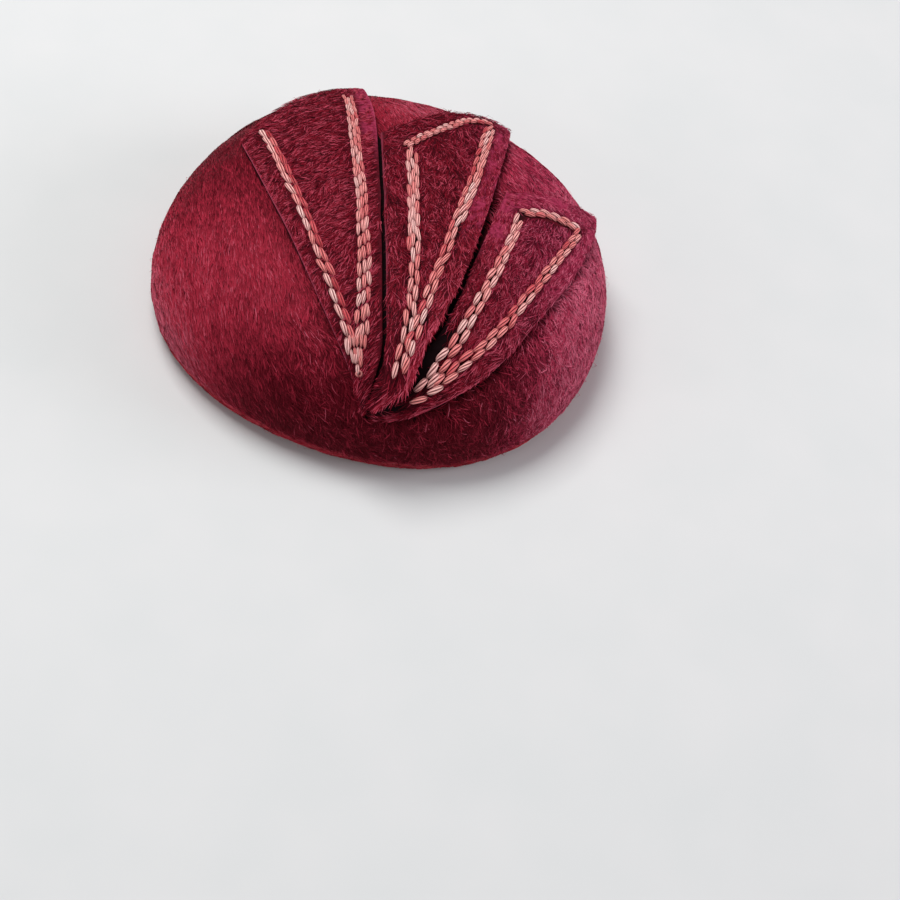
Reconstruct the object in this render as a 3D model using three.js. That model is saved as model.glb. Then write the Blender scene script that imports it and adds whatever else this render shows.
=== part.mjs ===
// A small felt percher hat: an egg-shaped domed crown, hollow and open below, and three felt fins sewn on it.
// Millimetres, +Z up. The fins' tips point to the front, towards -Y, and the rim rests on z = 0.
import * as THREE from "three";

// Crown sizes
const crownLength = 147; // side to side, along X, without the lobes
const crownDepth = 138.5; // front to back, along Y, without the lobes
const crownHeight = 47.5; // rim to the top of the dome
const widestHeight = 9; // height of the widest ring above the rim
const rimTuck = 3; // how far the rim turns in below the widest ring
const crownWall = 2.5; // thickness of the stiffened felt
const frontFullness = 3.3; // extra half length of the front, and as much less at the back
const lobeSwell = 1; // four soft swellings in the outline
const lobeBearing = THREE.MathUtils.degToRad(35);
const domeRoundness = 2.4; // exponent of the dome's profile: 2 is an ellipse, more is fuller

// Each fin's length, from its tip to its far right corner, and width
const leftFinLength = 129;
const leftFinWidth = 46;
const middleFinLength = 119;
const middleFinWidth = 40;
const rightFinLength = 118;
const rightFinWidth = 34;
const leftFinBulge = 9; // swelling of the far edge
const middleFinBulge = 13;
const rightFinBulge = 1;

// Places of the tips on the felt: the first from the front middle of the widest ring, the others from the tip before
const leftTipAside = 7; // to the right
const leftTipRise = 16.4; // towards the top of the crown
const middleTipAside = 2.2;
const middleTipRise = 2.9;
const rightTipAside = 0.5;
const rightTipDrop = 3.8;

// Gaps between the edges of neighbouring fins
const leftParting = 1.1;
const rightParting = 1.8;

// Fin sizes that all three share
const finFelt = 1.8; // thickness of a fin
const seatGap = 0.3; // clearance between a fin and what it lies on
const edgeRounding = 0.5; // how far the top face drops at a cut edge
const tipWidth = 1.6; // blunt end of each tip
const passHeight = finFelt + seatGap; // lift that lets one fin pass over another
const liftCurve = 1.7; // exponent of the lift from a fin's middle to its edge
const farReach = 3; // exponent by which the far edge's swelling fades along the fin

// How finely the surfaces are cut
const bearings = 72;
const domeRings = 18;
const tuckRings = 4;
const rimTurn = THREE.MathUtils.degToRad(60); // angle the tuck's arc sweeps from the widest ring to the rim
const finRows = 24;
const acrossShares = [0, 0.03, 0.12, 0.27, 0.42, 0.58, 0.73, 0.88, 0.97, 1];
const followSteps = 12; // points of a left edge that follows its neighbour
const meridianSteps = 120; // from the top of the dome to the rim
const slopeStep = 1e-3; // step in stage or bearing over which a slope is taken

// Each fin: its sizes, and tables of shares chosen by hand.
// The first fin's turn is from the direction to the right, and the others' from the fin before.
// An edge's table: along is a share of the length, across a share of the width, from the fin's axis outwards.
// Where a fin has no left table, its left edge follows the right edge of the fin before, between two shares of it.
// partings: how far apart those edges lie, as shares of parting. Below 0 the fin runs under the one before.
// lifts: height over the crown at the left edge, in the middle and at the right edge, as shares of passHeight.
const fins = [
  {
    name: "fin_left",
    length: leftFinLength,
    width: leftFinWidth,
    turn: 113, // direction of its axis, in degrees anticlockwise
    tipAside: leftTipAside,
    tipRise: leftTipRise,
    farBulge: leftFinBulge,
    farPeak: 0.55, // where across the fin the far edge is fullest
    leftEdge: [
      { along: 0.06, across: 0.025 },
      { along: 0.3, across: 0.17 },
      { along: 0.575, across: 0.365 },
      { along: 0.74, across: 0.44 },
      { along: 0.815, across: 0.467 },
    ],
    rightEdge: [
      { along: 0.036, across: 0.046 },
      { along: 0.087, across: 0.113 },
      { along: 0.134, across: 0.165 },
      { along: 0.25, across: 0.222 },
      { along: 0.43, across: 0.31 },
      { along: 0.63, across: 0.395 },
      { along: 0.84, across: 0.48 },
      { along: 1, across: 0.5 },
    ],
    lifts: [
      { at: 0, left: 0, middle: 0, right: 0.1 },
      { at: 0.4, left: 0, middle: 0, right: 0.2 },
      { at: 0.8, left: 0, middle: 0.1, right: 0.35 },
      { at: 1, left: 0, middle: 0.25, right: 0.4 },
    ],
  },
  {
    name: "fin_middle",
    length: middleFinLength,
    width: middleFinWidth,
    turn: -23,
    tipAside: middleTipAside,
    tipRise: middleTipRise,
    farBulge: middleFinBulge,
    farPeak: 0.65,
    follow: { from: 0.07, to: 0.765 },
    parting: leftParting,
    partings: [
      { at: 0, apart: 1 },
      { at: 1, apart: 1 },
    ],
    rightEdge: [
      { along: 0.045, across: 0.143 },
      { along: 0.074, across: 0.2 },
      { along: 0.138, across: 0.222 },
      { along: 0.2, across: 0.255 },
      { along: 0.33, across: 0.355 },
      { along: 0.48, across: 0.43 },
      { along: 0.6, across: 0.46 },
      { along: 0.8, across: 0.47 },
      { along: 1, across: 0.485 },
    ],
    lifts: [
      { at: 0, left: 0.9, middle: 1.25, right: 1.4 },
      { at: 0.12, left: 0.45, middle: 1.1, right: 1.6 },
      { at: 0.3, left: 0.1, middle: 0.5, right: 1.4 },
      { at: 0.6, left: 0, middle: 0.1, right: 0.9 },
      { at: 0.85, left: 0.05, middle: 0.1, right: 0.5 },
      { at: 1, left: 0.1, middle: 0.25, right: 0.75 },
    ],
  },
  {
    name: "fin_right",
    length: rightFinLength,
    width: rightFinWidth,
    turn: -21.4,
    tipAside: rightTipAside,
    tipRise: -rightTipDrop,
    farBulge: rightFinBulge,
    farPeak: 0.5,
    follow: { from: 0.08, to: 0.73 },
    parting: rightParting,
    partings: [
      { at: 0, apart: -1.2 },
      { at: 0.12, apart: 0 },
      { at: 0.25, apart: 1 },
      { at: 0.6, apart: 0.8 },
      { at: 0.85, apart: 1.5 },
      { at: 1, apart: 2.1 },
    ],
    rightEdge: [
      { along: 0.026, across: 0.144 },
      { along: 0.092, across: 0.324 },
      { along: 0.164, across: 0.45 },
      { along: 0.25, across: 0.56 },
      { along: 0.34, across: 0.62 },
      { along: 0.49, across: 0.65 },
      { along: 0.64, across: 0.653 },
      { along: 0.8, across: 0.588 },
      { along: 0.91, across: 0.5 },
      { along: 1, across: 0.368 },
    ],
    lifts: [
      { at: 0, left: 0, middle: 0, right: 0 },
      { at: 0.5, left: 0, middle: 0.05, right: 0 },
      { at: 0.85, left: 0.1, middle: 0.1, right: 0.2 },
      { at: 1, left: 0.15, middle: 0.2, right: 0.75 },
    ],
  },
];

const origin = new THREE.Vector2();

// Plan of the widest ring at a bearing, an egg with four soft lobes.
function widestPoint(bearing) {
  const swell = 1 + (lobeSwell / (crownLength / 2)) * Math.cos(4 * (bearing - lobeBearing));
  const fullness = 1 - (frontFullness / (crownLength / 2)) * Math.sin(bearing);
  const x = (crownLength / 2) * Math.cos(bearing) * fullness * swell;
  const y = (crownDepth / 2) * Math.sin(bearing) * swell;
  return new THREE.Vector2(x, y);
}

// A point of the crown's outer face. Stage 0 is the top, 1 the widest ring and 2 the rim.
function crownPoint(bearing, stage) {
  const widest = widestPoint(bearing);
  if (stage <= 1) {
    const turn = (stage * Math.PI) / 2;
    const reach = Math.sin(turn) ** (2 / domeRoundness);
    const rise = Math.max(0, Math.cos(turn)) ** (2 / domeRoundness);
    const z = widestHeight + (crownHeight - widestHeight) * rise;
    return new THREE.Vector3(widest.x * reach, widest.y * reach, z);
  }
  const turn = (stage - 1) * rimTurn;
  const inset = (rimTuck * (1 - Math.cos(turn))) / (1 - Math.cos(rimTurn));
  const plan = widest.clone().setLength(widest.length() - inset);
  return new THREE.Vector3(plan.x, plan.y, widestHeight * (1 - Math.sin(turn) / Math.sin(rimTurn)));
}

// Outward direction of the crown's outer face.
function crownNormal(bearing, stage) {
  if (stage < slopeStep) return new THREE.Vector3(0, 0, 1);
  const down = crownPoint(bearing, Math.min(2, stage + slopeStep)).sub(crownPoint(bearing, stage - slopeStep));
  const round = crownPoint(bearing + slopeStep, stage).sub(crownPoint(bearing - slopeStep, stage));
  return down.cross(round).normalize();
}

// Inner face: the wall is measured square to the dome, and level below the widest ring, so the rim's edge is flat.
function crownInnerPoint(bearing, stage) {
  const outward = crownNormal(bearing, Math.min(stage, 1));
  if (stage >= 1) outward.setZ(0).normalize();
  return crownPoint(bearing, stage).addScaledVector(outward, -crownWall);
}

// A closed mesh from named rows of points and triangles.
function solidMesh(name, points, triangles, color) {
  const geometry = new THREE.BufferGeometry();
  geometry.setAttribute("position", new THREE.Float32BufferAttribute(points.flatMap((p) => p.toArray()), 3));
  geometry.setIndex(triangles);
  geometry.computeVertexNormals();
  const material = new THREE.MeshStandardMaterial({ color, roughness: 0.95, metalness: 0 });
  const mesh = new THREE.Mesh(geometry, material);
  mesh.name = name;
  return mesh;
}

// The crown: an outer and an inner skin of rings, joined at the rim by a flat edge.
function makeCrown() {
  const stages = [];
  for (let i = 1; i <= domeRings; i++) stages.push(i / domeRings);
  for (let i = 1; i <= tuckRings; i++) stages.push(1 + i / tuckRings);
  const points = [];
  const skins = [crownPoint, crownInnerPoint].map((skinPoint) => {
    const top = points.push(skinPoint(0, 0)) - 1;
    const rings = stages.map((stage) => {
      const first = points.length;
      for (let j = 0; j < bearings; j++) points.push(skinPoint((2 * Math.PI * j) / bearings, stage));
      return first;
    });
    return { top, rings };
  });
  const triangles = [];
  const strip = (upper, lower, outward) => {
    for (let j = 0; j < bearings; j++) {
      const k = (j + 1) % bearings;
      const quad = [upper + j, lower + j, lower + k, upper + k];
      if (!outward) quad.reverse();
      triangles.push(quad[0], quad[1], quad[2], quad[0], quad[2], quad[3]);
    }
  };
  skins.forEach(({ top, rings }, side) => {
    const outward = side === 0;
    for (let j = 0; j < bearings; j++) {
      const pair = [rings[0] + j, rings[0] + ((j + 1) % bearings)];
      if (!outward) pair.reverse();
      triangles.push(top, pair[0], pair[1]);
    }
    for (let i = 1; i < rings.length; i++) strip(rings[i - 1], rings[i], outward);
  });
  strip(skins[0].rings.at(-1), skins[1].rings.at(-1), true);
  return solidMesh("crown", points, triangles, "#7d1c33");
}

// Length of felt from the dome's top down one bearing: a list of stages with the length to each.
function meridian(bearing) {
  const marks = [{ stage: 0, length: 0 }];
  let last = crownPoint(bearing, 0);
  for (let i = 1; i <= meridianSteps; i++) {
    const stage = (2 * i) / meridianSteps;
    const next = crownPoint(bearing, stage);
    marks.push({ stage, length: marks.at(-1).length + next.distanceTo(last) });
    last = next;
  }
  return marks;
}

// Length of felt from the top to the widest ring at a bearing.
function domeLength(bearing) {
  return meridian(bearing).find((mark) => mark.stage >= 1).length;
}

// A point that lies at a place of the crown's felt laid flat round its top, raised square to the felt.
function feltPoint(place, raise) {
  const bearing = Math.atan2(place.y, place.x);
  const marks = meridian(bearing);
  const distance = Math.hypot(place.x, place.y);
  let i = 1;
  while (i < marks.length - 1 && marks[i].length < distance) i++;
  const [low, high] = [marks[i - 1], marks[i]];
  const share = (distance - low.length) / (high.length - low.length);
  const stage = low.stage + Math.min(1, share) * (high.stage - low.stage);
  const normal = crownNormal(bearing, Math.min(stage, 2));
  return crownPoint(bearing, stage).addScaledVector(normal, raise);
}

// Value of one column of a table at a share, straight between its rows.
function tableValue(rows, at, column) {
  let i = 1;
  while (i < rows.length - 1 && rows[i].at < at) i++;
  const [before, after] = [rows[i - 1], rows[i]];
  return THREE.MathUtils.mapLinear(at, before.at, after.at, before[column], after[column]);
}

// A smooth curve through places on the flat felt.
function feltCurve(places) {
  return new THREE.CatmullRomCurve3(
    places.map((place) => new THREE.Vector3(place.x, place.y, 0)),
    false,
    "centripetal",
  );
}

// A fin's edge from its table. Side is 1 for the left edge and -1 for the right one.
function tableEdge(fin, frame, rows, side) {
  const own = [{ x: 0, y: (side * tipWidth) / 2 }];
  for (const row of rows) own.push({ x: fin.length * row.along, y: side * fin.width * row.across });
  return feltCurve(own.map(({ x, y }) => new THREE.Vector2(x, y).rotateAround(origin, frame.heading).add(frame.tip)));
}

// A fin's left edge beside the right edge of the fin before it.
function followingEdge(fin, frame, neighbour) {
  const places = [new THREE.Vector2(0, tipWidth / 2).rotateAround(origin, frame.heading).add(frame.tip)];
  for (let i = 0; i <= followSteps; i++) {
    const at = i / followSteps;
    const share = THREE.MathUtils.lerp(fin.follow.from, fin.follow.to, at);
    const beside = neighbour.right.getTangentAt(share);
    const apart = fin.parting * tableValue(fin.partings, at, "apart");
    const place = neighbour.right.getPointAt(share);
    places.push(new THREE.Vector2(place.x + beside.y * apart, place.y - beside.x * apart));
  }
  return feltCurve(places);
}

// Swelling of the far edge across the fin, 0 at both corners and 1 at its peak.
function farShape(fin, across) {
  const rise = (across / fin.farPeak) ** (2 * fin.farPeak);
  const fall = ((1 - across) / (1 - fin.farPeak)) ** (2 * (1 - fin.farPeak));
  return rise * fall;
}

// Lift over the crown at a share along and across the fin, from the fin's table.
function finLift(fin, along, across) {
  const middle = tableValue(fin.lifts, along, "middle");
  const edge = tableValue(fin.lifts, along, across < 0.5 ? "left" : "right");
  const outwards = Math.abs(2 * across - 1);
  return passHeight * THREE.MathUtils.lerp(middle, edge, outwards ** liftCurve);
}

// Lays the fins out side by side on the flat felt: for each, its frame and its two edges.
function layOutFins() {
  const laid = [];
  const front = -Math.PI / 2;
  const tip = new THREE.Vector2(0, -domeLength(front));
  let heading = 0;
  for (const fin of fins) {
    tip.add(new THREE.Vector2(fin.tipAside, fin.tipRise));
    heading += THREE.MathUtils.degToRad(fin.turn);
    const frame = { tip: tip.clone(), heading };
    const right = tableEdge(fin, frame, fin.rightEdge, -1);
    const left = fin.leftEdge
      ? tableEdge(fin, frame, fin.leftEdge, 1)
      : followingEdge(fin, frame, laid.at(-1));
    laid.push({ fin, heading, left, right });
  }
  return laid;
}

// A fin: a felt sheet with rounded edges, laid over the crown from its tip at the front.
function makeFin({ fin, heading, left, right }) {
  const points = [];
  const columns = acrossShares.length;
  const axis = new THREE.Vector3(Math.cos(heading), Math.sin(heading), 0);
  for (const top of [true, false]) {
    for (let i = 0; i <= finRows; i++) {
      const along = i / finRows;
      for (const across of acrossShares) {
        const place = left.getPointAt(along).lerp(right.getPointAt(along), across);
        place.addScaledVector(axis, fin.farBulge * farShape(fin, across) * along ** farReach);
        const atEdge = across === 0 || across === 1 || i === 0 || i === finRows;
        const thickness = finFelt - (atEdge ? edgeRounding : 0);
        const raise = seatGap + finLift(fin, along, across) + (top ? thickness : 0);
        points.push(feltPoint(place, raise));
      }
    }
  }
  const below = (finRows + 1) * columns;
  const triangles = [];
  const quad = (a, b, c, d) => triangles.push(a, b, c, a, c, d);
  for (let i = 0; i < finRows; i++) {
    for (let j = 0; j < columns - 1; j++) {
      const a = i * columns + j;
      quad(a, a + 1, a + 1 + columns, a + columns);
      quad(below + a, below + a + columns, below + a + 1 + columns, below + a + 1);
    }
    const first = i * columns;
    const last = first + columns - 1;
    quad(first, first + columns, below + first + columns, below + first);
    quad(last, below + last, below + last + columns, last + columns);
  }
  for (let j = 0; j < columns - 1; j++) {
    const far = finRows * columns + j;
    quad(j, below + j, below + j + 1, j + 1);
    quad(far, far + 1, below + far + 1, below + far);
  }
  return solidMesh(fin.name, points, triangles, "#8a2140");
}

const hat = new THREE.Group();
hat.add(makeCrown());
for (const laid of layOutFins()) hat.add(makeFin(laid));

export default hat;
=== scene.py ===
# A small felt percher hat: a domed crown of long-pile burgundy felt, hollow below, and three stitched fins.
# Metres, +Z up. The fins' tips point to the front, towards -Y, and the rim rests on z = 0.
import math

import bpy
import numpy as np
from mathutils import Matrix


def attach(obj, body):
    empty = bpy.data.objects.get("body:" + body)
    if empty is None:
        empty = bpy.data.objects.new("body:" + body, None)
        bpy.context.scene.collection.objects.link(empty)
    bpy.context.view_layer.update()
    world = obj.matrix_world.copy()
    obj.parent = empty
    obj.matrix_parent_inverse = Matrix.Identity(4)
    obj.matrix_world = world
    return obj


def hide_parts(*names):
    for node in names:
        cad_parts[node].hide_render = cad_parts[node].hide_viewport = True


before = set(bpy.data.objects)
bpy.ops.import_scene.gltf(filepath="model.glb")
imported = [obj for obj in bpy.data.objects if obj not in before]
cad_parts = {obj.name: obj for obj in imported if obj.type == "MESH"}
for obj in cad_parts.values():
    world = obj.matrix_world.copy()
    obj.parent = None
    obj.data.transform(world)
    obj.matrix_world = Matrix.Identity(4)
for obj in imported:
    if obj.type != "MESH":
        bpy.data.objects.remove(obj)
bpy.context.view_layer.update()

MM = 0.001


def mm(*values):
    return tuple(value * MM for value in values)


# Crown sizes, as in the frame
CROWN_LENGTH = 147 * MM
CROWN_DEPTH = 138.5 * MM
CROWN_HEIGHT = 47.5 * MM
WIDEST_HEIGHT = 9 * MM
RIM_TUCK = 3 * MM
CROWN_WALL = 2.5 * MM
FRONT_FULLNESS = 3.3 * MM
LOBE_SWELL = 1 * MM
LOBE_BEARING = math.radians(35)
DOME_ROUNDNESS = 2.4
RIM_TURN = math.radians(60)
RIM_ROUNDING = 0.6 * MM

# Fin sizes that all three share
FIN_FELT = 1.8 * MM
SEAT_GAP = 0.3 * MM
TIP_WIDTH = 1.6 * MM
PASS_HEIGHT = FIN_FELT + SEAT_GAP
LIFT_CURVE = 1.7
FAR_REACH = 3
CUT_EDGE = 0.7 * MM  # how far in the rounding of a cut edge reaches
EDGE_ROUNDNESS = 2.6
LIGHT_EDGE = 0.8 * MM  # how far in a cut edge looks lighter

# Pile
PILE_SPACING = 0.425 * MM
PILE_END = 1.9 * MM  # height above the rim where it ends
PILE_DEPTH = 0.14 * MM  # how far the felt lies under the fibres' lowest parts
TOP_BEARING = math.radians(-65)  # of the fibres beyond a fin's top row of stitches

# Rows of chain stitch on each fin: their route as shares along and across it from the far end to the tip,
# and the pitch, the width and the length in pitches (grain) of a stitch at the tip and at the far end. A
# column of stitches has its places in widths beside the route at the far end and the tip, its lags there
# in pitches, the shares of the route where it starts and ends, and the painted light on its thread, which
# is painted shade where it is negative. Some rows lean aside, in widths at the tip and at the far end, and
# one ends in a loop of a given radius.
LEFT_ROWS = {
    "outer": dict(
        pitch=mm(5.5, 4.8), width=mm(1.6, 1.75), grain=(0.98, 1.2), lean=(0.3, 0.5),
        route=[(0.955, 0.172), (0.76, 0.188), (0.56, 0.205), (0.42, 0.228), (0.306, 0.262),
               (0.22, 0.27), (0.17, 0.2)],
        columns=[(-0.55, -0.5, 0, 0, 0, 1, 0.15), (0.4, 0.5, 0.35, 0.35, 0, 0.95, -0.4)],
    ),
    "inner": dict(
        pitch=mm(5.4, 3.7), width=mm(1.5, 1.02), grain=(0.84, 1.2), lean=(0, 0.35),
        route=[(0.93, 0.84), (0.74, 0.81), (0.546, 0.79), (0.376, 0.75), (0.278, 0.66), (0.204, 0.54)],
        columns=[(-1, -0.9, 0, 0, 0, 1, 0.15), (0, 0, 0.7, 0.86, 0, 1, 0.05),
                 (1, 0.9, 0.3, 0.74, 0, 1, -0.05)],
    ),
    "fan": dict(
        pitch=mm(4.4, 4.4), width=mm(0.95, 1.05), grain=(1, 1),
        route=[(0.206, 0.44), (0.156, 0.36)],
        columns=[(-2.2, -1.8, 0.1, 0.1, 0, 1, 0.1), (-1.1, -0.9, 0, 0, 0, 1, -0.1),
                 (0, 0, -0.05, -0.05, 0, 1, 0), (1.1, 0.9, 0, 0, 0, 1, -0.1), (2.2, 1.8, 0.1, 0.1, 0, 1, 0)],
    ),
    "end": dict(
        pitch=mm(3.3, 3.3), width=mm(1.2, 1.3), grain=(1.05, 1.05), end_loop=1.05 * MM,
        route=[(0.158, 0.36), (0.116, 0.3)],
        columns=[(-0.6, -0.3, 0, 0, 0, 1, 0.1), (0.6, 0.3, 0.3, 0.3, 0, 1, -0.1)],
    ),
}
MIDDLE_ROWS = {
    "left": dict(
        pitch=mm(5.6, 5.2), width=mm(1.75, 1.25), grain=(0.98, 1.1), lean=(0.2, 0.3),
        route=[(0.875, 0.208), (0.7, 0.25), (0.552, 0.27), (0.428, 0.31), (0.318, 0.36), (0.226, 0.42),
               (0.11, 0.49)],
        columns=[(-1, -0.8, 0.3, 0.1, 0, 0.5, 0), (0, -0.5, 0, 0, 0, 1, 0.1),
                 (0.9, 0.5, 0.5, 0.5, 0, 0.95, 0.05)],
    ),
    "right": dict(
        pitch=mm(5.5, 5), width=mm(1.8, 1.25), grain=(0.98, 1.1), lean=(-0.1, -0.2),
        route=[(0.945, 0.817), (0.75, 0.79), (0.6, 0.735), (0.47, 0.68), (0.382, 0.63), (0.292, 0.62),
               (0.194, 0.62), (0.11, 0.53)],
        columns=[(-1, -0.5, 0.45, 0.45, 0, 0.93, -0.2), (0, 0.5, 0, 0, 0, 0.97, 0.1),
                 (0.9, 0.9, 0.5, 0.5, 0, 0.5, 0)],
    ),
    "top": dict(
        pitch=mm(3, 3), width=mm(1.45, 1.45), grain=(1.15, 1.15), lean=(0.45, 0.45),
        route=[(0.89, 0.17), (0.902, 0.276), (0.92, 0.45), (0.95, 0.64), (0.962, 0.8)],
        columns=[(-0.45, -0.45, 0, 0, 0, 1, -0.1), (0.45, 0.45, 0.5, 0.5, -0.05, 1, 0.05)],
    ),
}
RIGHT_ROWS = {
    "left": dict(
        pitch=mm(5.8, 4.8), width=mm(2.2, 1.6), grain=(0.98, 1.05),
        route=[(0.885, 0.2), (0.748, 0.245), (0.578, 0.248), (0.408, 0.244), (0.294, 0.3), (0.196, 0.388),
               (0.125, 0.5)],
        columns=[(-0.5, -0.5, 0, 0, 0, 0.98, 0.05), (0.4, 0.5, 0.5, 0.5, 0, 0.92, 0.1)],
    ),
    "right": dict(
        pitch=mm(6, 4.6), width=mm(2, 1.45), grain=(0.98, 1.05),
        route=[(0.894, 0.812), (0.768, 0.752), (0.632, 0.72), (0.476, 0.68), (0.382, 0.64), (0.286, 0.57),
               (0.19, 0.56), (0.12, 0.51)],
        columns=[(-0.5, -0.5, 0, 0, 0, 0.88, -0.25), (0.5, 0.5, 0.5, 0.5, 0, 1, 0)],
    ),
    "top": dict(
        pitch=mm(3.9, 3.9), width=mm(1.6, 1.6), grain=(1.12, 1.12), lean=(-0.4, -0.4),
        route=[(0.89, 0.2), (0.906, 0.38), (0.902, 0.62), (0.892, 0.79)],
        columns=[(-0.5, -0.5, 0.4, 0.4, 0, 1, -0.2), (0.45, 0.45, 0, 0, 0, 1, 0.15)],
    ),
}

# Each fin: sizes, and tables of shares as in the frame. Then where its felt is smooth, as rows of
# stitches, the side of each, 1 for its right, and the share along where that starts, and how light its
# left and right cut edges are, partly their own lighter colour and partly painted highlight. At the end its
# brushing: the fibres' bearings from its axis at its tip and its far end, how far they fan out at the tip,
# their curl, how much longer they are at the tip, how far up its left and right edge they hang over, how
# wide a line stays bare there, and their tone in the pile and where smooth. At the tip they have painted
# light from one share across on, and painted shade up to another.
FINS = [
    dict(
        name="fin_left", rows=LEFT_ROWS, length=129 * MM, width=46 * MM,
        turn=113, tip_step=mm(7, 16.4), far_bulge=9 * MM, far_peak=0.55,
        left_edge=[(0.06, 0.025), (0.3, 0.17), (0.575, 0.365), (0.74, 0.44), (0.815, 0.467)],
        right_edge=[(0.036, 0.046), (0.087, 0.113), (0.134, 0.165), (0.25, 0.222), (0.43, 0.31),
                    (0.63, 0.395), (0.84, 0.48), (1, 0.5)],
        lifts=[(0, 0, 0, 0.1), (0.4, 0, 0, 0.2), (0.8, 0, 0.1, 0.35), (1, 0, 0.25, 0.4)],
        smooth_beside=[("inner", 1, 0.62)], smooth_top=False,
        light_edges=[(0, 0.6, 0), (0.74, 0.9, 0.1), (0.84, 0.9, 0.8), (1, 0.9, 0.8)],
        brushed=(150, 92), fan=0, curl=0.4, tip_length=1.3, hang=(0, 0.2), bare=mm(0.6, 0.25),
        tone=0.45, smooth_tone=0.2, light_tip=(0, 0.9), dark_tip=(0.16, 0.9),
    ),
    dict(
        name="fin_middle", rows=MIDDLE_ROWS, length=119 * MM, width=40 * MM,
        turn=-23, tip_step=mm(2.2, 2.9), far_bulge=13 * MM, far_peak=0.65,
        follow=(0.07, 0.765), partings=[(0, 1.1 * MM), (1, 1.1 * MM)],
        right_edge=[(0.045, 0.143), (0.074, 0.2), (0.138, 0.222), (0.2, 0.255), (0.33, 0.355), (0.48, 0.43),
                    (0.6, 0.46), (0.8, 0.47), (1, 0.485)],
        lifts=[(0, 0.9, 1.25, 1.4), (0.12, 0.45, 1.1, 1.6), (0.3, 0.1, 0.5, 1.4), (0.6, 0, 0.1, 0.9),
               (0.85, 0.05, 0.1, 0.5), (1, 0.1, 0.25, 0.75)],
        smooth_beside=[("right", 1, 0.45)], smooth_top=False,
        light_edges=[(0, 0.2, 0), (0.3, 0.7, 0.1), (1, 0.7, 0.3)],
        brushed=(180, 200), fan=14, curl=0.8, tip_length=1.9, hang=(0.22, 0.3), bare=mm(0.35, 0.3),
        tone=0.36, smooth_tone=0.06, light_tip=(0.3, 0.62), dark_tip=(0.34, 0.5),
    ),
    dict(
        name="fin_right", rows=RIGHT_ROWS, length=118 * MM, width=34 * MM,
        turn=-21.4, tip_step=mm(0.5, -3.8), far_bulge=1 * MM, far_peak=0.5,
        follow=(0.08, 0.73), shaded_until=0.5,
        partings=[(0, -2.16 * MM), (0.12, 0), (0.25, 1.8 * MM), (0.6, 1.44 * MM), (0.85, 2.7 * MM),
                  (1, 3.78 * MM)],
        right_edge=[(0.026, 0.144), (0.092, 0.324), (0.164, 0.45), (0.25, 0.56), (0.34, 0.62), (0.49, 0.65),
                    (0.64, 0.653), (0.8, 0.588), (0.91, 0.5), (1, 0.368)],
        lifts=[(0, 0, 0, 0), (0.5, 0, 0.05, 0), (0.85, 0.1, 0.1, 0.2), (1, 0.15, 0.2, 0.75)],
        smooth_beside=[("right", 1, 0.5), ("left", -1, 0.62)], smooth_top=True,
        light_edges=[(0, 0, 0.9), (0.4, 0.2, 0.9), (1, 0.3, 0.3)],
        brushed=(170, 190), fan=0, curl=0.6, tip_length=1.3, hang=(0, 0.14), bare=mm(0.3, 0.5),
        tone=0.38, smooth_tone=0.12, light_tip=(0.3, 0.88), dark_tip=(0.3, 0.8),
    ),
]


# Plan of the widest ring at a bearing, an egg with four soft lobes
def widest_point(bearing):
    swell = 1 + LOBE_SWELL / (CROWN_LENGTH / 2) * np.cos(4 * (bearing - LOBE_BEARING))
    fullness = 1 - FRONT_FULLNESS / (CROWN_LENGTH / 2) * np.sin(bearing)
    x = CROWN_LENGTH / 2 * np.cos(bearing) * fullness * swell
    y = CROWN_DEPTH / 2 * np.sin(bearing) * swell
    return x, y


# A point of the crown's outer face. Stage 0 is the top, 1 the widest ring and 2 the rim.
def crown_point(bearing, stage):
    bearing, stage = np.broadcast_arrays(bearing, stage)
    x, y = widest_point(bearing)
    turn = np.minimum(stage, 1) * math.pi / 2
    reach = np.sin(turn) ** (2 / DOME_ROUNDNESS)
    rise = np.maximum(0, np.cos(turn)) ** (2 / DOME_ROUNDNESS)
    under = np.clip(stage - 1, 0, 1) * RIM_TURN
    inset = RIM_TUCK * (1 - np.cos(under)) / (1 - math.cos(RIM_TURN))
    shrink = 1 - inset / np.hypot(x, y)
    dome_z = WIDEST_HEIGHT + (CROWN_HEIGHT - WIDEST_HEIGHT) * rise
    tuck_z = WIDEST_HEIGHT * (1 - np.sin(under) / math.sin(RIM_TURN))
    z = np.where(stage <= 1, dome_z, tuck_z)
    return np.stack([x * reach * shrink, y * reach * shrink, z], axis=-1)


def unit(vectors):
    return vectors / np.maximum(np.linalg.norm(vectors, axis=-1, keepdims=True), 1e-12)


# Outward direction of the crown's outer face
def crown_normal(bearing, stage):
    step = 1e-3
    stage = np.maximum(stage, 2 * step)
    down = crown_point(bearing, np.minimum(2, stage + step)) - crown_point(bearing, stage - step)
    around = crown_point(bearing + step, stage) - crown_point(bearing - step, stage)
    return unit(np.cross(down, around))


# Table of the stage reached at each distance down the felt from the top, for bearings all round
TABLE_BEARINGS = 360
ALL_ROUND = np.arange(TABLE_BEARINGS + 1) * 2 * math.pi / TABLE_BEARINGS
TABLE_STAGES = np.linspace(0, 2, 401)
TABLE_STEP = 0.5 * MM
TABLE_REACH = 110 * MM


def make_felt_table():
    lengths = np.stack([travelled(crown_point(bearing, TABLE_STAGES)) for bearing in ALL_ROUND])
    distances = np.arange(0, TABLE_REACH, TABLE_STEP)
    return np.stack([np.interp(distances, row, TABLE_STAGES) for row in lengths]), lengths


# How far along a line each of its points lies
def travelled(points):
    steps = np.linalg.norm(np.diff(points, axis=0), axis=1)
    return np.concatenate([[0], np.cumsum(steps)])


STAGE_AT, FELT_LENGTHS = make_felt_table()
FRONT_DOME_LENGTH = FELT_LENGTHS[3 * TABLE_BEARINGS // 4][200]


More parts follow.
